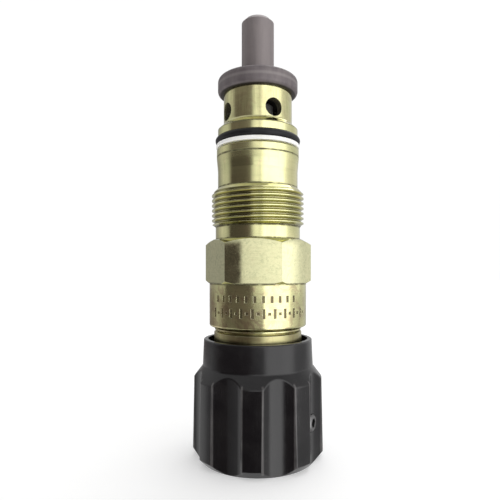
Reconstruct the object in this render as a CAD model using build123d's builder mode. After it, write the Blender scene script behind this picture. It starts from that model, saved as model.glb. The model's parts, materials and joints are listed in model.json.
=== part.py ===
from build123d import *
import math
import os

# Screw-in pressure relief valve cartridge with a hand knob. Millimetres.
# Origin: on the valve axis, at the hexagon's seating face. +Z points to the nose,
# so everything above the origin sits in the manifold and the knob hangs below it.
# Angles are counted about +Z from +X, counter-clockwise seen from the nose.

# ---- driving dimensions -----------------------------------------------------

# hexagon, barrel and thread of the body
across_flats = 28.0
hex_height = 13.05
hex_corner_angle = -65.0
hex_face_radius = 13.6
hex_foot_radius = 14.9
hex_slope = 30.0
barrel_radius = 14.72
barrel_end = -26.0
barrel_round = 0.7
thread_major_radius = 14.0
thread_pitch = 1.5
thread_depth = 0.92
thread_root_half = 0.09
thread_flank_angle = 30.0
thread_low = 3.9
thread_high = 13.7
thread_start = 2.725
thread_chamfer = 0.7
undercut_radius = 12.85
relief_radius = 12.15
relief_low = 15.55

# sealing land, groove and ported nose of the body
land_radius = 12.5
land_low = 24.6
land_taper_low = 20.4
scribe_high = 25.1
scribe_low = 24.8
scribe_depth = 0.15
groove_low = 27.0
groove_high = 31.05
groove_radius = 10.7
groove_lip_radius = 12.15
shoulder_low = 33.2
shoulder_high = 34.8
shoulder_fillet = 0.8
nose_radius = 10.4
nose_top = 43.9
port_radius = 2.65
port_height = 37.8
port_angle = -63.0

# bores of the body
chamber_radius = 8.0
chamber_top = 41.2
seat_socket_radius = 8.2
tail_bore_radius = 10.0
tail_bore_top = -15.2

# valve seat with its guide tube
flange_radius = 12.15
flange_top = 49.0
flange_round = 1.3
tube_radius = 4.93
tube_top = 67.2
tube_chamfer = 1.2
tube_fillet = 0.8
flow_radius = 3.0
seat_angle = 45.0
seat_mouth_radius = 3.9

# nose seals
o_ring_section = 1.1
backup_width = 1.2
backup_radius = 12.65
backup_round = 0.2

# poppet and lower spring plate
guide_clearance = 0.05
damper_top = 61.5
damper_length = 8.0
damper_flat = 2.5
small_chamfer = 0.4
large_chamfer = 0.8
neck_radius = 1.6
cone_foot_radius = 4.6
cone_length = 3.0
stem_radius = 2.6
stem_low = 30.8
plate_radius = 7.5
plate_high = 35.0
plate_low = 32.5
plate_stub_radius = 3.7
plate_stub_low = 29.0

# main spring, at its shortest preload
spring_wire = 1.1
spring_mean_radius = 5.2
spring_turns = 8.5
spring_high = plate_low
spring_low = -2.3

# adjusting piston, its seals, the shim above it and the ball below it
piston_radius = chamber_radius - guide_clearance
shim_thickness = 0.7
shim_radius = 7.2
piston_high = spring_low - shim_thickness
piston_low = -13.0
piston_stub_radius = 3.7
piston_stub_high = 2.0
piston_groove_high = -6.0
piston_groove_low = -9.2
piston_groove_radius = 6.2
piston_o_ring_section = 0.88
piston_backup_width = 1.3
ball_radius = 2.5
ball_centre = -13.6

# adjusting spindle
spindle_radius = 5.95
spindle_head_radius = 7.4
spindle_head_high = -13.3
spindle_head_low = -15.15
spindle_neck_length = 0.9
spindle_end = -57.5
spindle_flat = 5.45

# end plug, its seal and the lock ring under the barrel
plug_neck_radius = 9.97
plug_bore_radius = 6.0
plug_radius = 13.3
plug_rim_chamfer = 0.3
plug_flange_high = -27.45
plug_end = -38.0
plug_flats = 24.0
plug_flats_high = -33.0
plug_groove_high = -21.3
plug_groove_low = -23.7
plug_groove_radius = 8.4
plug_o_ring_section = 0.78
friction_groove_high = -33.4
friction_groove_low = -35.4
friction_o_ring_section = 0.8
lock_ring_radius = 13.1
lock_ring_core_radius = 11.75
lock_ring_high = -26.35
lock_ring_low = -27.1
lock_ring_chamfer = 0.2

# knob with its moulded-in insert and set screw
knob_rim_radius = 16.4
knob_rim_high = -29.75
knob_rim_round = 0.4
collar_radius = 16.75
collar_low = -37.8
collar_round = 0.8
grip_radius = 19.35
grip_high = -41.2
grip_round = 0.8
grip_foot_radius = 19.8
knob_base = -65.4
knob_base_chamfer = 2.4
skirt_radius = 15.1
skirt_floor = -44.6
flute_count = 8
flute_angle = -72.0
flute_bottom_radius = 17.5
flute_cutter_radius = 8.6
flute_edge_round = 0.6
base_recess_radius = 14.0
base_recess_depth = 0.8
base_hub_radius = 5.0
insert_radius = 8.5
insert_high = -43.75
insert_low = -60.0
screw_height = -53.4
screw_angle = -27.0
screw_radius = 2.45
screw_hole_radius = 2.5
knob_hole_radius = 2.6
screw_inner = 5.5
screw_length = 12.6
screw_socket_flats = 2.5
screw_socket_depth = 2.5

# generic stamping on the barrel: two rows of plain bars and dots
mark_depth = 0.2
bar_row_height = -17.3
bar_row_tall = 1.9
bar_row_pitch = 9.5
bar_row_count = 11
bar_row_angle = -141.0
code_row_height = -21.3
code_row_tall = 2.7
code_row_pitch = 12.5
code_row_count = 10
code_row_angle = -146.0
bar_width = 0.8
dot_size = 0.8

os.makedirs("parts", exist_ok=True)


def finish(piece, name):
    """Label a piece and write it to its own file."""
    piece.part.label = name
    export_step(piece.part, f"parts/{name}.step")


# ---- valve body -------------------------------------------------------------

slope = math.tan(math.radians(hex_slope))
hex_corner_radius = across_flats / math.sqrt(3)
face_drop = (hex_corner_radius + 1 - hex_face_radius) * slope
foot_rise = (hex_corner_radius + 1 - hex_foot_radius) * slope

with BuildPart() as hexagon:
    with BuildSketch(Plane.XY.offset(-hex_height)):
        RegularPolygon(across_flats / 2, 6, major_radius=False, rotation=hex_corner_angle)
    extrude(amount=hex_height)
    # both ends are turned to 30 degrees, which rounds off the six corners
    with BuildSketch(Plane.XZ):
        Polygon(
            (0, 0),
            (hex_face_radius, 0),
            (hex_corner_radius + 1, -face_drop),
            (hex_corner_radius + 1, -hex_height + foot_rise),
            (hex_foot_radius, -hex_height),
            (0, -hex_height),
            align=None,
        )
    revolve(axis=Axis.Z, mode=Mode.INTERSECT)

with BuildPart() as valve_body:
    with BuildSketch(Plane.XZ):
        Polygon(
            (0, barrel_end),
            (barrel_radius, barrel_end),
            (barrel_radius, -hex_height),
            (undercut_radius, -hex_height),
            (undercut_radius, thread_low),
            (thread_major_radius, thread_low + thread_chamfer),
            (thread_major_radius, thread_high),
            (relief_radius, relief_low),
            (relief_radius, land_taper_low),
            (land_radius, land_low),
            (land_radius, scribe_low),
            (land_radius - scribe_depth, (scribe_low + scribe_high) / 2),
            (land_radius, scribe_high),
            (land_radius, groove_low),
            (groove_radius, groove_low),
            (groove_radius, groove_high),
            (groove_lip_radius, groove_high),
            (groove_lip_radius, shoulder_low),
            (nose_radius, shoulder_high),
            (nose_radius, nose_top),
            (0, nose_top),
            align=None,
        )
    revolve(axis=Axis.Z)
    rims = valve_body.edges().filter_by(GeomType.CIRCLE).sort_by(Axis.Z)
    fillet(rims[0], radius=barrel_round)
    rims = valve_body.edges().filter_by(GeomType.CIRCLE).sort_by(Axis.Z)
    fillet(rims[-2], radius=shoulder_fillet)
    add(hexagon.part)
    # stepped bore: tail thread, spring chamber, seat socket
    with BuildSketch(Plane.XZ):
        Polygon(
            (0, barrel_end),
            (tail_bore_radius, barrel_end),
            (tail_bore_radius, tail_bore_top),
            (chamber_radius, tail_bore_top),
            (chamber_radius, chamber_top),
            (seat_socket_radius, chamber_top),
            (seat_socket_radius, nose_top),
            (0, nose_top),
            align=None,
        )
    revolve(axis=Axis.Z, mode=Mode.SUBTRACT)
    # four tank ports, drilled as two crossing holes
    with Locations((0, 0, port_height)):
        with PolarLocations(0, 2, port_angle, 180):
            Cylinder(port_radius, 4 * nose_radius, rotation=(0, 90, 0), mode=Mode.SUBTRACT)
    # stamped rows: tall bars, with a dot between neighbours
    bar_sweep = bar_row_pitch * bar_row_count
    code_sweep = code_row_pitch * code_row_count
    dot_angle = code_row_angle + code_row_pitch / 2
    with Locations((0, 0, bar_row_height)):
        with PolarLocations(barrel_radius, bar_row_count, bar_row_angle, bar_sweep):
            Box(2 * mark_depth, bar_width, bar_row_tall, mode=Mode.SUBTRACT)
    with Locations((0, 0, code_row_height)):
        with PolarLocations(barrel_radius, code_row_count, code_row_angle, code_sweep):
            Box(2 * mark_depth, bar_width, code_row_tall, mode=Mode.SUBTRACT)
        with PolarLocations(barrel_radius, code_row_count, dot_angle, code_sweep):
            Box(2 * mark_depth, dot_size, dot_size, mode=Mode.SUBTRACT)

# the V between two thread crests, swept up a right-hand helix past both ends of the thread
cutter_over = 0.2
cutter_depth = thread_depth + cutter_over
cutter_mouth_half = thread_root_half + cutter_depth * math.tan(math.radians(thread_flank_angle))
root_helix = Helix(
    pitch=thread_pitch,
    height=relief_low + thread_pitch - thread_start,
    radius=thread_major_radius - thread_depth,
    center=(0, 0, thread_start),
)
with BuildPart() as thread_cutter:
    with BuildSketch(Plane(origin=root_helix @ 0, x_dir=(1, 0, 0), z_dir=(0, -1, 0))):
        Polygon(
            (0, -thread_root_half),
            (cutter_depth, -cutter_mouth_half),
            (cutter_depth, cutter_mouth_half),
            (0, thread_root_half),
            align=None,
        )
    sweep(path=root_helix, is_frenet=True)

with BuildPart() as threaded_body:
    add(valve_body.part)
    add(thread_cutter.part, mode=Mode.SUBTRACT)
finish(threaded_body, "valve_body")

# ---- valve seat: flange, guide tube and seat cone ----------------------------

seat_press_radius = seat_socket_radius - 0.02
seat_depth = (seat_mouth_radius - flow_radius) / math.tan(math.radians(seat_angle))

with BuildPart() as valve_seat:
    with BuildSketch(Plane.XZ):
        Polygon(
            (flow_radius, chamber_top + seat_depth),
            (seat_mouth_radius, chamber_top),
            (seat_press_radius, chamber_top),
            (seat_press_radius, nose_top),
            (flange_radius, nose_top),
            (flange_radius, flange_top),
            (tube_radius, flange_top),
            (tube_radius, tube_top),
            (flow_radius + small_chamfer, tube_top),
            (flow_radius, tube_top - small_chamfer),
            align=None,
        )
    revolve(axis=Axis.Z)
    rims = valve_seat.edges().filter_by(GeomType.CIRCLE)
    flange_rims = rims.filter_by(lambda e: abs(e.radius - flange_radius) < 0.01)
    fillet(flange_rims, radius=flange_round)
    rims = valve_seat.edges().filter_by(GeomType.CIRCLE)
    tube_rims = rims.filter_by(lambda e: abs(e.radius - tube_radius) < 0.01).sort_by(Axis.Z)
    chamfer(tube_rims[-1], length=tube_chamfer)
    rims = valve_seat.edges().filter_by(GeomType.CIRCLE)
    tube_rims = rims.filter_by(lambda e: abs(e.radius - tube_radius) < 0.01).sort_by(Axis.Z)
    fillet(tube_rims[0], radius=tube_fillet)
finish(valve_seat, "valve_seat")

# ---- nose seals ---------------------------------------------------------------

with BuildPart() as nose_o_ring:
    with Locations((0, 0, groove_high - o_ring_section)):
        Torus(groove_radius + o_ring_section, o_ring_section)
finish(nose_o_ring, "nose_o_ring")

backup_height = groove_high - 2 * o_ring_section - backup_width / 2

with BuildPart() as nose_backup_ring:
    with BuildSketch(Plane.XZ):
        with Locations(((groove_radius + backup_radius) / 2, backup_height)):
            RectangleRounded(backup_radius - groove_radius, backup_width, backup_round)
    revolve(axis=Axis.Z)
finish(nose_backup_ring, "nose_backup_ring")

# ---- poppet and lower spring plate ---------------------------------------------

damper_radius = flow_radius - guide_clearance
seat_edge = chamber_top + seat_depth
cone_top = seat_edge + (flow_radius - neck_radius) - guide_clearance
cone_foot = cone_top - cone_length

with BuildPart() as poppet:
    with BuildSketch(Plane.XZ):
        Polygon(
            (0, stem_low),
            (stem_radius - small_chamfer, stem_low),
            (stem_radius, stem_low + small_chamfer),
            (stem_radius, plate_high),
            (cone_foot_radius - large_chamfer, plate_high),
            (cone_foot_radius, plate_high + large_chamfer),
            (cone_foot_radius, cone_foot),
            (neck_radius, cone_top),
            (neck_radius, damper_top - damper_length - 1),
            (damper_radius, damper_top - damper_length),
            (damper_radius, damper_top - small_chamfer),
            (damper_radius - small_chamfer, damper_top),
            (0, damper_top),
            align=None,
        )
    revolve(axis=Axis.Z)
    # three flats on the damping piston let the oil past
    with BuildSketch(Plane.XY.offset(damper_top)):
        with PolarLocations(damper_flat + damper_radius / 2, 3):
            Rectangle(damper_radius, 2 * damper_radius)
    extrude(amount=-damper_length - large_chamfer, mode=Mode.SUBTRACT)
finish(poppet, "poppet")

with BuildPart() as spring_plate:
    with BuildSketch(Plane.XZ):
        Polygon(
            (stem_radius, plate_stub_low),
            (plate_stub_radius - small_chamfer, plate_stub_low),
            (plate_stub_radius, plate_stub_low + small_chamfer),
            (plate_stub_radius, plate_low),
            (plate_radius, plate_low),
            (plate_radius, plate_high - small_chamfer),
            (plate_radius - small_chamfer, plate_high),
            (stem_radius, plate_high),
            align=None,
        )
    revolve(axis=Axis.Z)
finish(spring_plate, "spring_plate")

# ---- main spring, ends ground flat ----------------------------------------------

spring_length = spring_high - spring_low
spring_pitch = spring_length / spring_turns
spring_helix = Helix(
    pitch=spring_pitch,
    height=spring_length,
    radius=spring_mean_radius,
    center=(0, 0, spring_low),
)
with BuildPart() as main_spring:
    with BuildSketch(Plane(origin=spring_helix @ 0, z_dir=spring_helix % 0)):
        Circle(spring_wire)
    sweep(path=spring_helix, is_frenet=True)
    with BuildSketch(Plane.XY.offset(spring_low)):
        Circle(chamber_radius)
    extrude(amount=spring_length, mode=Mode.INTERSECT)
finish(main_spring, "main_spring")

# ---- adjusting piston, shim, seals and thrust ball --------------------------------

with BuildPart() as spring_shim:
    with BuildSketch(Plane.XY.offset(piston_high)):
        Circle(shim_radius)
        Circle(piston_stub_radius + guide_clearance, mode=Mode.SUBTRACT)
    extrude(amount=shim_thickness)
finish(spring_shim, "spring_shim")

with BuildPart() as adjusting_piston:
    with BuildSketch(Plane.XZ):
        Polygon(
            (0, piston_low),
            (piston_radius - small_chamfer, piston_low),
            (piston_radius, piston_low + small_chamfer),
            (piston_radius, piston_groove_low),
            (piston_groove_radius, piston_groove_low),
            (piston_groove_radius, piston_groove_high),
            (piston_radius, piston_groove_high),
            (piston_radius, piston_high),
            (piston_stub_radius, piston_high),
            (piston_stub_radius, piston_stub_high - small_chamfer),
            (piston_stub_radius - small_chamfer, piston_stub_high),
            (0, piston_stub_high),
            align=None,
        )
    revolve(axis=Axis.Z)
    # spherical seat for the thrust ball
    with Locations((0, 0, ball_centre)):
        Sphere(ball_radius, mode=Mode.SUBTRACT)
finish(adjusting_piston, "adjusting_piston")

with BuildPart() as piston_o_ring:
    with Locations((0, 0, piston_groove_high - piston_o_ring_section)):
        Torus(piston_groove_radius + piston_o_ring_section, piston_o_ring_section)
finish(piston_o_ring, "piston_o_ring")

with BuildPart() as piston_backup_ring:
    with BuildSketch(Plane.XY.offset(piston_groove_low)):
        Circle(piston_radius)
        Circle(piston_groove_radius, mode=Mode.SUBTRACT)
    extrude(amount=piston_backup_width)
finish(piston_backup_ring, "piston_backup_ring")

with BuildPart() as thrust_ball:
    with Locations((0, 0, ball_centre)):
        Sphere(ball_radius)
finish(thrust_ball, "thrust_ball")

# ---- adjusting spindle --------------------------------------------------------------

with BuildPart() as adjusting_spindle:
    with BuildSketch(Plane.XZ):
        Polygon(
            (0, spindle_end),
            (spindle_radius - large_chamfer, spindle_end),
            (spindle_radius, spindle_end + large_chamfer),
            (spindle_radius, spindle_head_low - spindle_neck_length - small_chamfer),
            (spindle_radius - small_chamfer, spindle_head_low - spindle_neck_length),
            (spindle_radius - small_chamfer, spindle_head_low),
            (spindle_head_radius, spindle_head_low),
            (spindle_head_radius, spindle_head_high - small_chamfer),
            (spindle_head_radius - small_chamfer, spindle_head_high),
            (0, spindle_head_high),
            align=None,
        )
    revolve(axis=Axis.Z)
    # cup that the thrust ball turns in
    with Locations((0, 0, ball_centre)):
        Sphere(ball_radius + guide_clearance, mode=Mode.SUBTRACT)
    # flat under the set screw
    with BuildSketch(Plane.XY.offset(spindle_end)):
        with PolarLocations(spindle_flat + spindle_radius, 1, start_angle=screw_angle):
            Rectangle(2 * spindle_radius, 4 * spindle_radius)
    extrude(amount=2 * (screw_height - spindle_end), mode=Mode.SUBTRACT)
finish(adjusting_spindle, "adjusting_spindle")

# ---- end plug, its seal and the lock ring ----------------------------------------------

friction_groove_radius = plug_bore_radius + 2 * friction_o_ring_section

with BuildPart() as end_plug:
    with BuildSketch(Plane.XZ):
        Polygon(
            (plug_bore_radius, plug_end),
            (plug_radius - large_chamfer, plug_end),
            (plug_radius, plug_end + large_chamfer),
            (plug_radius, plug_flange_high - plug_rim_chamfer),
            (plug_radius - plug_rim_chamfer, plug_flange_high),
            (plug_neck_radius, plug_flange_high),
            (plug_neck_radius, plug_groove_low),
            (plug_groove_radius, plug_groove_low),
            (plug_groove_radius, plug_groove_high),
            (plug_neck_radius, plug_groove_high),
            (plug_neck_radius, tail_bore_top),
            (plug_bore_radius, tail_bore_top),
            (plug_bore_radius, friction_groove_high),
            (friction_groove_radius, friction_groove_high),
            (friction_groove_radius, friction_groove_low),
            (plug_bore_radius, friction_groove_low),
            align=None,
        )
    revolve(axis=Axis.Z)
    # two spanner flats inside the knob
    with BuildSketch(Plane.XY.offset(plug_end)):
        with PolarLocations(plug_radius, 2):
            Rectangle(2 * plug_radius - plug_flats, 4 * plug_radius)
    extrude(amount=plug_flats_high - plug_end, mode=Mode.SUBTRACT)
finish(end_plug, "end_plug")

with BuildPart() as end_plug_o_ring:
    with Locations((0, 0, (plug_groove_high + plug_groove_low) / 2)):
        Torus(plug_groove_radius + plug_o_ring_section, plug_o_ring_section)
finish(end_plug_o_ring, "end_plug_o_ring")

# O-ring that grips the spindle, so that the knob holds its setting
with BuildPart() as friction_o_ring:
    with Locations((0, 0, (friction_groove_high + friction_groove_low) / 2)):
        Torus(plug_bore_radius + friction_o_ring_section, friction_o_ring_section)
finish(friction_o_ring, "friction_o_ring")

with BuildPart() as lock_ring:
    with BuildSketch(Plane.XZ):
        Polygon(
            (tail_bore_radius, plug_flange_high),
            (lock_ring_core_radius, plug_flange_high),
            (lock_ring_core_radius, lock_ring_low),
            (lock_ring_radius - lock_ring_chamfer, lock_ring_low),
            (lock_ring_radius, lock_ring_low + lock_ring_chamfer),
            (lock_ring_radius, lock_ring_high - lock_ring_chamfer),
            (lock_ring_radius - lock_ring_chamfer, lock_ring_high),
            (lock_ring_core_radius, lock_ring_high),
            (lock_ring_core_radius, barrel_end),
            (tail_bore_radius, barrel_end),
            align=None,
        )
    revolve(axis=Axis.Z)
finish(lock_ring, "lock_ring")

# ---- knob ---------------------------------------------------------------------------------

with BuildPart() as knob:
    with BuildSketch(Plane.XZ):
        Polygon(
            (0, knob_base),
            (grip_foot_radius, knob_base),
            (grip_radius, grip_high),
            (collar_radius, collar_low),
            (knob_rim_radius, knob_rim_high),
            (skirt_radius, knob_rim_high),
            (skirt_radius, skirt_floor),
            (0, skirt_floor),
            align=None,
        )
    revolve(axis=Axis.Z)
    rims = knob.edges().filter_by(GeomType.CIRCLE)
    chamfer(rims.sort_by(Axis.Z)[0], length=knob_base_chamfer)
    rims = knob.edges().filter_by(GeomType.CIRCLE)
    fillet(rims.filter_by(lambda e: abs(e.radius - collar_radius) < 0.01), radius=collar_round)
    rims = knob.edges().filter_by(GeomType.CIRCLE)
    fillet(rims.filter_by(lambda e: abs(e.radius - grip_radius) < 0.01), radius=grip_round)
    rims = knob.edges().filter_by(GeomType.CIRCLE)
    fillet(rims.filter_by(lambda e: abs(e.radius - knob_rim_radius) < 0.01), radius=knob_rim_round)
    # wide shallow finger flutes; the shoulder cone gives each an arched top
    with BuildSketch(Plane.XY.offset(knob_base)):
        with PolarLocations(flute_bottom_radius + flute_cutter_radius, flute_count, flute_angle):
            Circle(flute_cutter_radius)
    extrude(amount=knob_rim_high - knob_base, mode=Mode.SUBTRACT)
    ridges = knob.edges().filter_by(lambda e: e.bounding_box().size.Z > 0.7 * (grip_high - knob_base))
    fillet(ridges, radius=flute_edge_round)
    # shallow moulded ring in the base
    with BuildSketch(Plane.XY.offset(knob_base)):
        Circle(base_recess_radius)
        Circle(base_hub_radius, mode=Mode.SUBTRACT)
    extrude(amount=base_recess_depth, mode=Mode.SUBTRACT)
    # socket for the insert, and the set screw's hole
    with BuildSketch(Plane.XY.offset(insert_low)):
        Circle(insert_radius)
    extrude(amount=skirt_floor - insert_low, mode=Mode.SUBTRACT)
    hole_length = 2 * (grip_foot_radius - insert_radius + knob_hole_radius)
    with Locations((0, 0, screw_height)):
        with PolarLocations(grip_foot_radius, 1, screw_angle):
            Cylinder(knob_hole_radius, hole_length, rotation=(0, 90, 0), mode=Mode.SUBTRACT)
finish(knob, "knob")

with BuildPart() as knob_insert:
    with BuildSketch(Plane.XY.offset(insert_low)):
        Circle(insert_radius)
    extrude(amount=insert_high - insert_low)
    with BuildSketch(Plane.XY.offset(spindle_end)):
        Circle(plug_bore_radius)
    extrude(amount=insert_high - spindle_end, mode=Mode.SUBTRACT)
    with Locations((0, 0, screw_height)):
        with PolarLocations(insert_radius, 1, screw_angle):
            Cylinder(screw_hole_radius, insert_radius, rotation=(0, 90, 0), mode=Mode.SUBTRACT)
finish(knob_insert, "knob_insert")

screw_axis = Vector(1, 0, 0).rotate(Axis.Z, screw_angle)
screw_outer_end = screw_axis * (screw_inner + screw_length) + Vector(0, 0, screw_height)

with BuildPart() as knob_set_screw:
    with BuildSketch(Plane(origin=screw_outer_end, z_dir=screw_axis)):
        Circle(screw_radius)
    extrude(amount=-screw_length)
    chamfer(knob_set_screw.edges().filter_by(GeomType.CIRCLE), length=small_chamfer)
    # hexagon socket in the outer end
    with BuildSketch(Plane(origin=screw_outer_end, z_dir=screw_axis)):
        RegularPolygon(screw_socket_flats / 2, 6, major_radius=False)
    extrude(amount=-screw_socket_depth, mode=Mode.SUBTRACT)
finish(knob_set_screw, "knob_set_screw")
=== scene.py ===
import json
import math

import bmesh
import bpy
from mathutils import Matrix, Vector


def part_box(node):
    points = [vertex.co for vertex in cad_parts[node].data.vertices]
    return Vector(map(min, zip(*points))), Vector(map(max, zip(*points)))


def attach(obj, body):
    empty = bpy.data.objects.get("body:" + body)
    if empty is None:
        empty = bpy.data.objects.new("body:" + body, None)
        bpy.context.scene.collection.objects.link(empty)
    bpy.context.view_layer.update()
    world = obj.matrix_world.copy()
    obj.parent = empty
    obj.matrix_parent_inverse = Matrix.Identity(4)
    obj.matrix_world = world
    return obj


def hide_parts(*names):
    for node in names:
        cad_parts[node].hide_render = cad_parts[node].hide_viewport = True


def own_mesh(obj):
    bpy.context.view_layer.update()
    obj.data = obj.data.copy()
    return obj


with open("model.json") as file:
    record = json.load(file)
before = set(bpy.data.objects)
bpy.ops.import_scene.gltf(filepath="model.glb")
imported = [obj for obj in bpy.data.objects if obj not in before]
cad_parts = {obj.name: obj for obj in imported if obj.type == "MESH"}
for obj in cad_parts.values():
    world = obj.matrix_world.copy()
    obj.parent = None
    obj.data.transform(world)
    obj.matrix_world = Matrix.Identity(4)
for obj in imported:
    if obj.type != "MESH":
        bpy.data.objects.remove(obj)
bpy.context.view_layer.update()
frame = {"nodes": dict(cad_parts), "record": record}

MM = 0.001

# ---- camera: level, in front of the valve ------------------------------------------------

CAMERA_DISTANCE = 146 * MM
CAMERA_HEIGHT = -9.1 * MM
CAMERA_LENS, CAMERA_SENSOR = 34.3, 36
CAMERA_SHIFT = (-0.0156, 0.04)
CAMERA_CLIP = (0.005, 20)

# ---- places on the valve, from the frame's own boxes and the valve's dimensions ----------

KNOB_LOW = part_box("knob")[0].z
HEX_LOW, HEX_HIGH = -13.05 * MM, 0.0
THREAD_LOW, THREAD_HIGH = 3.9 * MM, 15.5 * MM
THREAD_ROOT, THREAD_CREST = 13.1 * MM, 14.0 * MM
LAND_LOW, LAND_HIGH = 22.8 * MM, 27.0 * MM
NOSE_LOW = 33.4 * MM
NOSE_RADIUS, BARREL_RADIUS = 10.4 * MM, 14.72 * MM
MARKS_LOW, MARKS_HIGH = -24.0 * MM, -15.0 * MM
PORTS_LOW, PORTS_HIGH = 34.6 * MM, 41.0 * MM
PLUG_HIGH = -27.4 * MM
FLANGE_LOW, FLANGE_HIGH = 43.9 * MM, 49.0 * MM
CREASES = [height * MM for height in (-26.3, -13.15, 0.1, 3.8, 15.6, 24.95, 33.3, 44.1)]
FLUTE_ANGLE, FLUTE_STEP = math.radians(-72), math.radians(45)
RIDGE_FROM_FLUTE = math.radians(14)
GRIP_RADIUS = 19.35 * MM
EDGE = 0.1 * MM


class Nodes:
    """Short names for the shader nodes that the materials below are made of."""

    def __init__(self, name):
        self.material = bpy.data.materials.new(name)
        self.material.use_nodes = True
        self.tree = self.material.node_tree
        self.tree.nodes.clear()
        output = self.tree.nodes.new("ShaderNodeOutputMaterial")
        self.shader = self.tree.nodes.new("ShaderNodeBsdfPrincipled")
        self.link(self.shader.outputs["BSDF"], output.inputs["Surface"])
        self.place = self.tree.nodes.new("ShaderNodeTexCoord").outputs["Object"]

    @classmethod
    def on(cls, tree):
        """The same short names on a node tree that already exists."""
        nodes = cls.__new__(cls)
        nodes.tree = tree
        return nodes

    def link(self, out, socket):
        self.tree.links.new(out, socket)

    def put(self, socket, value):
        """Link an output to a socket, or set the socket's own value."""
        if hasattr(value, "is_output"):
            self.link(value, socket)
        else:
            socket.default_value = value

    def math(self, operation, a, b=0.0, c=0.0):
        node = self.tree.nodes.new("ShaderNodeMath")
        node.operation = operation
        for socket, value in zip(node.inputs, (a, b, c)):
            self.put(socket, value)
        return node.outputs[0]

    def times(self, a, b):
        return self.math("MULTIPLY", a, b)

    def plus(self, a, b):
        return self.math("ADD", a, b)

    def split(self, vector):
        node = self.tree.nodes.new("ShaderNodeSeparateXYZ")
        self.put(node.inputs[0], vector)
        return node.outputs[0], node.outputs[1], node.outputs[2]

    def join(self, x, y, z):
        node = self.tree.nodes.new("ShaderNodeCombineXYZ")
        for socket, value in zip(node.inputs, (x, y, z)):
            self.put(socket, value)
        return node.outputs[0]

    def noise(self, vector, scale, detail=3.0, rough=0.55, distortion=0.0):
        node = self.tree.nodes.new("ShaderNodeTexNoise")
        self.put(node.inputs["Vector"], vector)
        self.put(node.inputs["Scale"], scale)
        self.put(node.inputs["Detail"], detail)
        self.put(node.inputs["Roughness"], rough)
        self.put(node.inputs["Distortion"], distortion)
        return node.outputs["Fac"]

    def ramp(self, value, low, high, to_low=0.0, to_high=1.0):
        """A smooth step from to_low to to_high as value goes from low to high."""
        node = self.tree.nodes.new("ShaderNodeMapRange")
        node.interpolation_type = "SMOOTHSTEP"
        for socket, number in zip(node.inputs, (value, low, high, to_low, to_high)):
            self.put(socket, number)
        return node.outputs["Result"]

    def blend(self, share, a, b):
        """A number between a and b."""
        node = self.tree.nodes.new("ShaderNodeMix")
        for name, value in (("Factor", share), ("A", a), ("B", b)):
            self.put(node.inputs[name], value)
        return node.outputs["Result"]

    def mix(self, share, a, b):
        """A colour between a and b."""
        node = self.tree.nodes.new("ShaderNodeMix")
        node.data_type = "RGBA"
        self.put(node.inputs["Factor"], share)
        self.put(node.inputs["A"], a if hasattr(a, "is_output") else (*a, 1.0))
        self.put(node.inputs["B"], b if hasattr(b, "is_output") else (*b, 1.0))
        return node.outputs["Result"]

    def around(self):
        """Angle, radius and height about the valve's axis."""
        x, y, z = self.split(self.place)
        square = self.plus(self.times(x, x), self.times(y, y))
        return self.math("ARCTAN2", y, x), self.math("SQRT", square), z

    def band(self, value, low, high, soft):
        """1 between low and high, 0 outside, with soft edges."""
        rise = self.ramp(value, low - soft, low + soft)
        fall = self.ramp(value, high - soft, high + soft, 1.0, 0.0)
        return self.times(rise, fall)

    def rounded(self, radius):
        """The surface normal with every sharp edge rounded by a small radius."""
        node = self.tree.nodes.new("ShaderNodeBevel")
        node.samples = 4
        node.inputs["Radius"].default_value = radius
        return node.outputs["Normal"]

    def edges(self, radius):
        """1 on sharp edges, 0 away from them."""
        dot = self.tree.nodes.new("ShaderNodeVectorMath")
        dot.operation = "DOT_PRODUCT"
        self.link(self.rounded(radius), dot.inputs[0])
        geometry = self.tree.nodes.new("ShaderNodeNewGeometry")
        self.link(geometry.outputs["Normal"], dot.inputs[1])
        return self.ramp(dot.outputs["Value"], 0.93, 0.995, 1.0, 0.0)

    def bump(self, height, distance, strength=1.0, normal=None):
        node = self.tree.nodes.new("ShaderNodeBump")
        self.put(node.inputs["Height"], height)
        node.inputs["Distance"].default_value = distance
        node.inputs["Strength"].default_value = strength
        if normal is not None:
            self.link(normal, node.inputs["Normal"])
        return node.outputs["Normal"]

    def finish(self, **sockets):
        """Set the shader's sockets, named with underscores for spaces."""
        for name, value in sockets.items():
            self.put(self.shader.inputs[name.replace("_", " ")], value)
        return self.material


# ---- materials: noise scales are per metre, in the valve's own frame ---------------------


def turned_rings(n):
    """Fine circumferential tool marks: noise that hardly changes round the axis."""
    angle, radius, height = n.around()
    place = n.join(n.times(angle, 0.0004), radius, height)
    fine = n.noise(place, 7000, 2.0, 0.6)
    broad = n.noise(place, 1400, 2.0, 0.5)
    return n.plus(n.times(fine, 0.55), n.times(broad, 0.45))


ZINC, ZINC_GREENISH, ZINC_ROSY = (0.82, 0.78, 0.42), (0.71, 0.705, 0.37), (0.84, 0.69, 0.42)
ZINC_STREAK, ZINC_BRUSHED, ZINC_RING = (0.48, 0.45, 0.22), (0.40, 0.36, 0.18), (0.50, 0.47, 0.26)
ZINC_TARNISH = (0.52, 0.40, 0.25)
ZINC_FLATS, ZINC_MOTTLE = (0.80, 0.785, 0.50), (0.50, 0.52, 0.31)
ZINC_THREAD_ROOT_SHADE, ZINC_PLUG_SHADE = (0.20, 0.18, 0.09), (0.29, 0.25, 0.12)
ZINC_STAMPED_SHADE, ZINC_PAINTED_SHADE = (0.10, 0.075, 0.045), (0.045, 0.038, 0.022)
ZINC_WORN_AND_HIGHLIT = (0.86, 0.84, 0.62)


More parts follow.
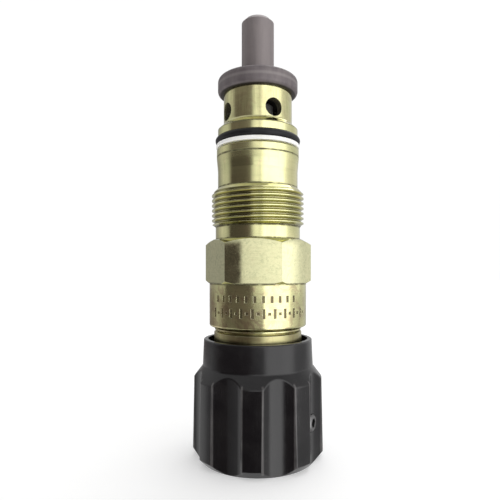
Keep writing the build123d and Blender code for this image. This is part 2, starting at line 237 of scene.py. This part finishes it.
def yellow_zinc(name):
    """Yellow passivated zinc on turned steel, mottled on the hexagon's flats, with painted shade
    and highlights.
    """
    n = Nodes(name)
    _, radius, height = n.around()
    x, y, z = n.split(n.place)
    rings = turned_rings(n)
    cloud = n.noise(n.place, 90, 3.0, 0.6, 0.4)
    tarnish = n.noise(n.place, 240, 4.0, 0.7, 1.2)
    blotch = n.noise(n.place, 420, 4.0, 0.65, 0.8)
    patch = n.noise(n.place, 1250, 3.0, 0.65, 0.3)
    grain = n.noise(n.place, 2300, 3.0, 0.7)
    streak = n.noise(n.join(x, y, n.times(z, 0.10)), 620, 3.0, 0.6)
    brush = n.noise(n.join(x, y, n.times(z, 0.06)), 1500, 3.0, 0.65)

    # Where the coat looks different or shade is painted: each is 1 in its own place, 0 elsewhere,
    # or nearly so.
    flats = n.band(height, HEX_LOW, HEX_HIGH, EDGE)
    nose = n.ramp(height, NOSE_LOW, NOSE_LOW + 0.6 * MM)
    barrel = n.ramp(height, HEX_LOW - EDGE, HEX_LOW, 1.0, 0.0)
    plug = n.ramp(height, PLUG_HIGH, PLUG_HIGH + EDGE, 1.0, 0.0)
    land = n.band(height, LAND_LOW, LAND_HIGH, 0.8 * MM)
    thread = n.band(height, THREAD_LOW - 0.2 * MM, THREAD_HIGH - 1.2 * MM, 0.3 * MM)
    root = n.ramp(radius, THREAD_ROOT, THREAD_CREST - 0.25 * MM, 0.75, 0.0)
    # Painted shade down in the port bores, which are also made less metallic below.
    bore = n.ramp(radius, NOSE_RADIUS - 0.5 * MM, NOSE_RADIUS - 0.15 * MM, 0.97, 0.0)
    bore = n.times(bore, n.band(height, PORTS_LOW, PORTS_HIGH, 0.2 * MM))
    stamped = n.ramp(radius, BARREL_RADIUS - 0.16 * MM, BARREL_RADIUS - 0.06 * MM, 0.85, 0.0)
    stamped = n.times(stamped, n.band(height, MARKS_LOW, MARKS_HIGH, EDGE))
    # Painted shade in the creases at these heights, broken up by blotches.
    crease_shade = 0.0
    for crease in CREASES:
        away = n.math("ABSOLUTE", n.math("SUBTRACT", height, crease))
        crease_shade = n.math("MAXIMUM", crease_shade, n.ramp(away, 0.05 * MM, 0.45 * MM, 0.8, 0.0))
    crease_shade = n.times(crease_shade, n.ramp(blotch, 0.3, 0.6, 0.35, 1.0))
    painted_shade = n.math("MAXIMUM", crease_shade, bore)
    # Lighter sharp edges, part wear and part painted highlight, as on the stamped marks' rims.
    worn = n.times(n.edges(0.18 * MM), n.math("SUBTRACT", 1.0, painted_shade))

    colour = n.mix(n.ramp(cloud, 0.35, 0.65), ZINC, ZINC_GREENISH)
    colour = n.mix(n.ramp(blotch, 0.54, 0.74, 0.0, 0.5), colour, ZINC_ROSY)
    colour = n.mix(n.ramp(streak, 0.30, 0.48, 0.30, 0.0), colour, ZINC_STREAK)
    colour = n.mix(n.times(nose, n.ramp(brush, 0.36, 0.54, 0.25, 0.0)), colour, ZINC_BRUSHED)
    tarnished = n.math("MAXIMUM", barrel, n.times(nose, 0.5))
    tarnished = n.times(tarnished, n.ramp(tarnish, 0.46, 0.62, 0.0, 0.60))
    colour = n.mix(tarnished, colour, ZINC_TARNISH)
    mottle = n.times(n.ramp(patch, 0.36, 0.60, 0.75, 0.0), n.ramp(blotch, 0.32, 0.60, 1.0, 0.25))
    colour = n.mix(n.times(flats, 0.6), colour, ZINC_FLATS)
    colour = n.mix(n.times(flats, mottle), colour, ZINC_MOTTLE)
    colour = n.mix(n.ramp(rings, 0.36, 0.50, 0.25, 0.0), colour, ZINC_RING)
    # Painted shade in the thread's roots.
    colour = n.mix(n.times(thread, root), colour, ZINC_THREAD_ROOT_SHADE)
    # Painted shade on the floors of the stamped marks.
    colour = n.mix(n.times(stamped, 0.95), colour, ZINC_STAMPED_SHADE)
    # Painted shade in the creases and the port bores.
    colour = n.mix(painted_shade, colour, ZINC_PAINTED_SHADE)
    # Painted shade on the end plug, down inside the knob's mouth.
    colour = n.mix(n.times(plug, 0.62), colour, ZINC_PLUG_SHADE)
    colour = n.mix(n.times(worn, 0.5), colour, ZINC_WORN_AND_HIGHLIT)

    rough = n.ramp(cloud, 0.3, 0.7, 0.10, 0.17)
    rough = n.plus(rough, n.times(land, 0.12))
    rough = n.plus(rough, n.times(plug, 0.16))
    rough = n.blend(flats, rough, n.ramp(blotch, 0.3, 0.7, 0.025, 0.05))
    rough = n.plus(rough, n.times(n.math("MAXIMUM", painted_shade, stamped), 0.40))
    turned = n.math("SUBTRACT", 1.0, n.times(flats, 0.985))
    relief = n.times(n.plus(n.times(rings, 0.35), n.times(streak, 0.65)), turned)
    relief = n.plus(relief, n.times(grain, 0.015))
    normal = n.bump(relief, 0.012 * MM, 0.9, n.rounded(0.12 * MM))
    metal = n.math("SUBTRACT", 1.0, n.times(bore, 0.95))
    return n.finish(Base_Color=colour, Metallic=metal, Roughness=rough, Normal=normal)


def phosphated(name):
    """Dark phosphated steel, matt, with a brownish mauve cast, a fine crystal grain, painted light
    and shade.
    """
    n = Nodes(name)
    angle, _, height = n.around()
    grain = n.noise(n.place, 5200, 3.0, 0.7)
    cloud = n.noise(n.place, 170, 4.0, 0.6, 0.5)
    streak = n.noise(n.join(n.times(angle, 0.006), 0.0, n.times(height, 0.12)), 900, 3.0, 0.6)
    # Painted light: lighter above the flange, up the tube.
    tube_painted_light = n.ramp(height, FLANGE_HIGH, FLANGE_HIGH + 1.5 * MM, 0.0, 0.38)
    ring = n.band(height, FLANGE_HIGH - 2.7 * MM, FLANGE_HIGH - 1.9 * MM, 0.3 * MM)
    # Painted shade on the flange's underside and lowest edge.
    flange_underside_shade = n.ramp(height, FLANGE_LOW + 0.03 * MM, FLANGE_LOW + 0.30 * MM, 0.93, 0.0)
    worn = n.times(n.edges(0.25 * MM), n.ramp(cloud, 0.35, 0.65, 0.2, 0.7))
    colour = n.mix(n.ramp(cloud, 0.3, 0.7), (0.155, 0.132, 0.138), (0.205, 0.180, 0.180))
    colour = n.mix(n.ramp(streak, 0.4, 0.65, 0.0, 0.4), colour, (0.115, 0.098, 0.108))
    colour = n.mix(tube_painted_light, colour, (0.36, 0.32, 0.31))
    colour = n.mix(n.times(ring, 0.35), colour, (0.36, 0.33, 0.32))
    colour = n.mix(n.ramp(grain, 0.55, 0.8, 0.0, 0.5), colour, (0.30, 0.27, 0.27))
    colour = n.mix(worn, colour, (0.38, 0.35, 0.35))
    colour = n.mix(flange_underside_shade, colour, (0.016, 0.012, 0.009))
    rough = n.ramp(cloud, 0.3, 0.7, 0.44, 0.58)
    normal = n.bump(grain, 0.012 * MM, 0.7, n.rounded(0.2 * MM))
    return n.finish(Base_Color=colour, Metallic=0.5, Roughness=rough, Normal=normal)


def black_plastic(name):
    """Glossy black thermoset: faint flow marks, fine scratches, dust, rubbed ridges with a painted
    highlight.
    """
    n = Nodes(name)
    angle, radius, height = n.around()
    cloud = n.noise(n.place, 120, 4.0, 0.6, 0.6)
    pores = n.noise(n.place, 1900, 4.0, 0.7)
    drawn_out = n.join(n.times(angle, 0.02), radius, n.times(height, 0.05))
    scratch = n.noise(drawn_out, 2600, 3.0, 0.6, 0.3)
    dust = n.ramp(n.noise(n.place, 3300, 2.0, 0.8), 0.70, 0.78)
    # Painted highlight along the grip's ridges and sharp edges, partly rubbed wear as well.
    from_flute = n.math("PINGPONG", n.math("SUBTRACT", angle, FLUTE_ANGLE), FLUTE_STEP / 2)
    from_ridge = n.math("ABSOLUTE", n.math("SUBTRACT", from_flute, RIDGE_FROM_FLUTE))
    ridge = n.ramp(from_ridge, math.radians(0.4), math.radians(1.4), 1.0, 0.0)
    ridge = n.times(ridge, n.ramp(radius, GRIP_RADIUS - 0.9 * MM, GRIP_RADIUS - 0.4 * MM))
    worn = n.math("MAXIMUM", n.edges(0.3 * MM), ridge)
    worn = n.times(worn, n.ramp(cloud, 0.3, 0.7, 0.35, 0.8))
    colour = n.mix(n.ramp(cloud, 0.35, 0.7), (0.0045, 0.0038, 0.0048), (0.0095, 0.0085, 0.0092))
    colour = n.mix(n.times(dust, 0.4), colour, (0.07, 0.065, 0.062))
    colour = n.mix(worn, colour, (0.115, 0.108, 0.107))
    rough = n.plus(n.ramp(cloud, 0.3, 0.7, 0.12, 0.20), n.times(dust, 0.3))
    rough = n.plus(rough, n.ramp(scratch, 0.56, 0.70, 0.0, 0.10))
    relief = n.plus(n.times(pores, 0.4), n.times(scratch, 0.4))
    relief = n.plus(relief, n.times(cloud, 3.5))
    normal = n.bump(relief, 0.012 * MM, 0.8, n.rounded(0.2 * MM))
    return n.finish(Base_Color=colour, Roughness=rough, Normal=normal, IOR=1.51)


def rubber(name):
    """Black nitrile with a faint bloom and a fine grain."""
    n = Nodes(name)
    cloud = n.noise(n.place, 300, 4.0, 0.65)
    grain = n.noise(n.place, 4200, 3.0, 0.7)
    colour = n.mix(n.ramp(cloud, 0.35, 0.7), (0.006, 0.006, 0.007), (0.016, 0.016, 0.017))
    colour = n.mix(n.ramp(grain, 0.60, 0.80, 0.0, 0.3), colour, (0.05, 0.05, 0.05))
    rough = n.ramp(cloud, 0.3, 0.7, 0.38, 0.55)
    normal = n.bump(grain, 0.008 * MM, 0.6)
    return n.finish(Base_Color=colour, Roughness=rough, Normal=normal, Specular_IOR_Level=0.3)


def ptfe(name):
    """White PTFE, waxy, with faint cut marks and a little handling dirt."""
    n = Nodes(name)
    rings = turned_rings(n)
    cloud = n.noise(n.place, 380, 4.0, 0.65)
    colour = n.mix(n.ramp(cloud, 0.50, 0.80), (0.97, 0.965, 0.93), (0.84, 0.82, 0.74))
    colour = n.mix(n.ramp(rings, 0.35, 0.5, 0.2, 0.0), colour, (0.74, 0.72, 0.66))
    return n.finish(
        Base_Color=colour,
        Roughness=n.ramp(cloud, 0.3, 0.7, 0.34, 0.5),
        Normal=n.bump(rings, 0.006 * MM, 0.6, n.rounded(0.1 * MM)),
        Subsurface_Weight=0.15,
        Subsurface_Radius=(0.001, 0.001, 0.0008),
        Subsurface_Scale=0.5,
    )


# Each bare or blackened metal: its lighter and darker colour, its roughness from and to, whether it
# is turned, and how metallic it is.
BARE_METALS = {
    "hardened_steel": ((0.66, 0.66, 0.64), (0.34, 0.34, 0.33), 0.30, 0.45, True, 0.4),
    "polished_steel": ((0.75, 0.75, 0.76), (0.66, 0.66, 0.68), 0.04, 0.09, False, 1.0),
    "spring_steel": ((0.30, 0.28, 0.26), (0.16, 0.15, 0.14), 0.30, 0.42, False, 1.0),
    "brass": ((0.80, 0.62, 0.30), (0.62, 0.45, 0.20), 0.20, 0.34, True, 1.0),
    "black_oxide_steel": ((0.26, 0.26, 0.26), (0.16, 0.155, 0.155), 0.26, 0.38, False, 1.0),
}


def bare_metal(name, light, dark, rough_low, rough_high, turned, metallic):
    """Ring marks if turned, stains, brighter worn edges."""
    n = Nodes(name)
    rings = turned_rings(n) if turned else n.noise(n.place, 3200, 3.0, 0.6)
    cloud = n.noise(n.place, 210, 4.0, 0.6, 0.4)
    colour = n.mix(n.ramp(cloud, 0.3, 0.7), light, dark)
    colour = n.mix(n.ramp(rings, 0.34, 0.5, 0.35, 0.0), colour, [0.5 * part for part in dark])
    brighter = [min(1.0, 1.35 * part) for part in light]
    colour = n.mix(n.times(n.edges(0.15 * MM), 0.6), colour, brighter)
    rough = n.ramp(cloud, 0.3, 0.7, rough_low, rough_high)
    normal = n.bump(rings, 0.007 * MM, 0.7, n.rounded(0.1 * MM))
    return n.finish(Base_Color=colour, Metallic=metallic, Roughness=rough, Normal=normal)


def paint_nodes():
    """Give every CAD node the finish of its material slot."""
    finishes = {
        "zinc_steel": yellow_zinc("zinc_steel"),
        "phosphated_steel": phosphated("phosphated_steel"),
        "seal_rubber": rubber("seal_rubber"),
        "ptfe": ptfe("ptfe"),
        "black_plastic": black_plastic("black_plastic"),
    }
    for name, look in BARE_METALS.items():
        finishes[name] = bare_metal(name, *look)
    for part in frame["record"]["subparts"]:
        slots = frame["nodes"][part["node"]].data.materials
        slots.clear()
        slots.append(finishes[part["material_slot"]])
    return finishes


# ---- the main spring, as it is wound: closed coils at both ends, ground flat -------------

WIRE_RADIUS, SPRING_RADIUS = 1.1 * MM, 5.2 * MM
SPRING_TURNS, CLOSED_TURNS = 10.0, 1.2
CLOSED_PITCH = 2.25 * MM
GROUND_START = 0.35 * WIRE_RADIUS
STEPS_PER_TURN, WIRE_SIDES = 40, 14
SPLIT_GAP_TURNS = 0.001
POPPET_LIFT, ADJUST_TRAVEL = 1.5 * MM, 5.7 * MM


def open_pitch(length):
    """The pitch of the open coils between the closed ones."""
    closed = 2 * (GROUND_START + CLOSED_TURNS * CLOSED_PITCH)
    return (length - closed) / (SPRING_TURNS - 2 * CLOSED_TURNS)


def spring_rise(turn, length):
    """Height of the wire's middle above the ground end: close coils, open coils, close coils."""
    if turn <= CLOSED_TURNS:
        return GROUND_START + turn * CLOSED_PITCH
    if turn >= SPRING_TURNS - CLOSED_TURNS:
        return length - GROUND_START - (SPRING_TURNS - turn) * CLOSED_PITCH
    return spring_rise(CLOSED_TURNS, length) + (turn - CLOSED_TURNS) * open_pitch(length)


def coil(name, finish, first, last, low, high):
    """The spring's wire from one turn to another, ground flat at low and high."""
    verts, faces = [], []
    steps = math.ceil((last - first) * STEPS_PER_TURN)
    for step in range(steps + 1):
        turn = first + (last - first) * step / steps
        a = 2 * math.pi * turn
        middle = low + spring_rise(turn, high - low)
        for side in range(WIRE_SIDES):
            b = 2 * math.pi * side / WIRE_SIDES
            radius = SPRING_RADIUS + WIRE_RADIUS * math.cos(b)
            z = min(high, max(low, middle + WIRE_RADIUS * math.sin(b)))
            verts.append((radius * math.cos(a), radius * math.sin(a), z))
    for step in range(steps):
        for side in range(WIRE_SIDES):
            here, beside = step * WIRE_SIDES + side, step * WIRE_SIDES + (side + 1) % WIRE_SIDES
            faces.append((here, here + WIRE_SIDES, beside + WIRE_SIDES, beside))
    faces.append(tuple(range(WIRE_SIDES)))
    faces.append(tuple(reversed(range(steps * WIRE_SIDES, (steps + 1) * WIRE_SIDES))))
    mesh = bpy.data.meshes.new(name)
    mesh.from_pydata(verts, [], faces)
    mesh.polygons.foreach_set("use_smooth", [len(face) == 4 for face in faces])
    mesh.materials.append(finish)
    wound = bpy.data.objects.new(name, mesh)
    bpy.context.scene.collection.objects.link(wound)
    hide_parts("main_spring")
    return wound


def main_spring(finish):
    """Two lengths of wire that meet where the spring stands still: the poppet squeezes the upper
    one as it lifts, and the adjusting piston squeezes the lower one as it travels."""
    low, high = (corner.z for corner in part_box("main_spring"))
    length = high - low
    squeeze = POPPET_LIFT + ADJUST_TRAVEL
    still = length * ADJUST_TRAVEL / squeeze
    meet = CLOSED_TURNS + (still - spring_rise(CLOSED_TURNS, length)) / open_pitch(length)
    upper = coil("main_spring_upper", finish, meet + SPLIT_GAP_TURNS, SPRING_TURNS, low, high)
    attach(upper, "poppet")
    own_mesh(upper)
    lower = coil("main_spring_lower", finish, 0.0, meet, low, high)
    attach(lower, "adjuster")
    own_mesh(lower)


# ---- studio: pale floor, soft light, a surround that is dark on one side for the metal ---

# Light from around the valve, at four heights: (azimuth from the camera's side in degrees,
# positive to its right, light). The dark side's edge leans, so it differs from one to the next.
AROUND_ABOVE = (
    (-180, 0.60),
    (-152, 0.30),
    (-135, 0.36),
    (-112, 0.62),
    (-94, 0.56),
    (-85, 0.30),
    (-79, 0.07),
    (-40, 0.08),
    (-26, 0.13),
    (-20, 0.22),
    (-16, 0.62),
    (-11, 0.95),
    (-4, 1.20),
    (0, 1.20),
    (6, 0.95),
    (12, 1.45),
    (16, 1.95),
    (76, 1.95),
    (88, 1.05),
    (98, 0.80),
    (114, 0.66),
    (135, 0.72),
    (180, 0.60),
)
AROUND_LEVEL = (
    (-180, 0.60),
    (-150, 0.34),
    (-130, 0.34),
    (-104, 0.50),
    (-84, 0.60),
    (-12, 0.84),
    (-8, 1.22),
    (0, 1.20),
    (12, 1.45),
    (20, 2.10),
    (76, 2.10),
    (90, 1.10),
    (111, 1.50),
    (114.1, 1.62),
    (114.6, 0.82),
    (135, 0.75),
    (180, 0.60),
)
AROUND_BELOW = (
    (-180, 0.50),
    (-150, 0.20),
    (-130, 0.24),
    (-110, 0.38),
    (-95, 0.28),
    (-82, 0.13),
    (-40, 0.135),
    (-20, 0.18),
    (-11, 0.26),
    (-2, 0.35),
    (7, 0.46),
    (12, 0.64),
    (17, 2.00),
    (72, 2.00),
    (84, 0.92),
    (97, 0.74),
    (112, 0.52),
    (130, 0.64),
    (180, 0.50),
)
AROUND_LOW = (
    (-180, 0.50),
    (-150, 0.45),
    (-118, 0.80),
    (-104, 0.72),
    (-94, 0.34),
    (-84, 0.36),
    (-54, 0.30),
    (-49, 0.14),
    (-8, 0.09),
    (8, 0.10),
    (14, 0.20),
    (20, 1.20),
    (25, 2.15),
    (66, 2.15),
    (74, 0.70),
    (105, 0.50),
    (130, 0.60),
    (180, 0.50),
)
PEAK_LIGHT = 2.2
# A black flag with a sharp edge shades the level ring: from and to, and the light it lets by.
FLAG_FROM, FLAG_TO, FLAG_SOFT = -80, -12, 0.25
FLAG_LIGHT = 0.08
CEILING_LIGHT, FLOOR_LIGHT = 0.60, 0.55
DARK_TINT, WHITE = (1.0, 0.86, 0.84), (1.0, 1.0, 1.0)
# The sines of the elevations between which one height gives way to the next.
LOW_TO_BELOW, BELOW_TO_LEVEL, LEVEL_TO_ABOVE = (-0.175, -0.155), (-0.05, -0.03), (0.05, 0.07)
ABOVE_TO_CEILING, FLOOR_TO_LOW = (0.12, 0.85), (-0.85, -0.55)

FLOOR_HALF_SIDE, DOME_RADIUS = 3, 2.8
FLOOR_GREY = 0.80
FLOOR_GLOW_NEAR, FLOOR_GLOW_FAR = 0.36, 0.52
FLOOR_NEAR, FLOOR_FAR = 0.35, 1.6
SOFTBOX_AZIMUTH, SOFTBOX_ELEVATION = math.radians(150), math.radians(62)
SOFTBOX_DISTANCE, SOFTBOX_SIDE, SOFTBOX_POWER = 0.9, 0.8, 3.0


def floor():
    """A pale sheet under the knob that lights the valve but isn't mirrored in it."""
    near, far = -FLOOR_HALF_SIDE, FLOOR_HALF_SIDE
    outline = ((near, near), (far, near), (far, far), (near, far))
    mesh = bpy.data.meshes.new("floor")
    mesh.from_pydata([(x, y, KNOB_LOW) for x, y in outline], [], [(0, 1, 2, 3)])
    n = Nodes("floor_paper")
    _, radius, _ = n.around()
    glow = n.ramp(radius, FLOOR_NEAR, FLOOR_FAR, FLOOR_GLOW_NEAR, FLOOR_GLOW_FAR)
    grey = (FLOOR_GREY, FLOOR_GREY, FLOOR_GREY, 1.0)
    mesh.materials.append(n.finish(Base_Color=grey, Roughness=0.8, Emission_Strength=glow))
    sheet = bpy.data.objects.new("floor", mesh)
    sheet.visible_glossy = False
    bpy.context.scene.collection.objects.link(sheet)


def backdrop():
    """A white dome that only the camera sees."""
    shape = bmesh.new()
    bmesh.ops.create_uvsphere(shape, u_segments=48, v_segments=24, radius=DOME_RADIUS)
    mesh = bpy.data.meshes.new("backdrop")
    shape.to_mesh(mesh)
    shape.free()
    n = Nodes("backdrop_white")
    mesh.materials.append(
        n.finish(Base_Color=(0.0, 0.0, 0.0, 1.0), Roughness=0.8, Emission_Strength=1.0)
    )
    dome = bpy.data.objects.new("backdrop", mesh)
    dome.visible_diffuse = False
    dome.visible_glossy = False
    dome.visible_transmission = False
    dome.visible_shadow = False
    bpy.context.scene.collection.objects.link(dome)


def softbox():
    """An area light that faces the valve from above and isn't seen by the camera."""
    out, up = math.cos(SOFTBOX_ELEVATION), math.sin(SOFTBOX_ELEVATION)
    back = Vector((out * math.sin(SOFTBOX_AZIMUTH), -out * math.cos(SOFTBOX_AZIMUTH), up))
    light = bpy.data.lights.new("top", "AREA")
    light.shape = "RECTANGLE"
    light.size = SOFTBOX_SIDE
    light.size_y = SOFTBOX_SIDE
    light.energy = SOFTBOX_POWER
    lamp = bpy.data.objects.new("top", light)
    lamp.location = back * SOFTBOX_DISTANCE
    lamp.rotation_mode = "QUATERNION"
    lamp.rotation_quaternion = back.to_track_quat("Z", "Y")
    lamp.visible_camera = False
    bpy.context.scene.collection.objects.link(lamp)


def ring_of_light(n, share, levels):
    """The light at each azimuth, from a table of them."""
    ramp = n.tree.nodes.new("ShaderNodeValToRGB")
    n.link(share, ramp.inputs["Fac"])
    stops = ramp.color_ramp.elements
    while len(stops) < len(levels):
        stops.new(0.5)
    for stop, (azimuth, light) in zip(stops, levels):
        stop.position = azimuth / 360 + 0.5
        level = light / PEAK_LIGHT
        stop.color = (level, level, level, 1.0)
    return n.times(ramp.outputs["Color"], PEAK_LIGHT)


def surround():
    """The light that comes from all round: a function of direction."""
    world = bpy.data.worlds.new("studio")
    world.use_nodes = True
    n = Nodes.on(world.node_tree)
    background = world.node_tree.nodes["Background"]
    x, y, z = n.split(n.tree.nodes.new("ShaderNodeTexCoord").outputs["Generated"])
    # The azimuth from the camera's side, in radians and as a share of the tables' whole turn.
    turn = n.math("ARCTAN2", x, n.times(y, -1.0))
    share = n.math("MULTIPLY_ADD", turn, 0.5 / math.pi, 0.5)
    flag = n.band(turn, math.radians(FLAG_FROM), math.radians(FLAG_TO), math.radians(FLAG_SOFT))
    level = n.blend(flag, ring_of_light(n, share, AROUND_LEVEL), FLAG_LIGHT)
    light = ring_of_light(n, share, AROUND_LOW)
    light = n.blend(n.ramp(z, *LOW_TO_BELOW), light, ring_of_light(n, share, AROUND_BELOW))
    light = n.blend(n.ramp(z, *BELOW_TO_LEVEL), light, level)
    light = n.blend(n.ramp(z, *LEVEL_TO_ABOVE), light, ring_of_light(n, share, AROUND_ABOVE))
    light = n.blend(n.ramp(z, *ABOVE_TO_CEILING), light, CEILING_LIGHT)
    light = n.blend(n.ramp(z, *FLOOR_TO_LOW, 1.0, 0.0), light, FLOOR_LIGHT)
    tint = n.mix(n.ramp(light, 0.10, 0.40), DARK_TINT, WHITE)
    n.link(tint, background.inputs["Color"])
    n.link(light, background.inputs["Strength"])
    bpy.context.scene.world = world


def studio():
    floor()
    backdrop()
    surround()
    softbox()
    bpy.context.scene.view_settings.view_transform = "Standard"


def camera():
    data = bpy.data.cameras.new("camera")
    data.lens = CAMERA_LENS
    data.sensor_width = CAMERA_SENSOR
    data.shift_x, data.shift_y = CAMERA_SHIFT
    data.clip_start, data.clip_end = CAMERA_CLIP
    seen_from = bpy.data.objects.new("camera", data)
    seen_from.location = (0, -CAMERA_DISTANCE, CAMERA_HEIGHT)
    seen_from.rotation_euler = (math.radians(90), 0, 0)
    bpy.context.scene.collection.objects.link(seen_from)
    bpy.context.scene.camera = seen_from


main_spring(paint_nodes()["spring_steel"])
studio()
camera()
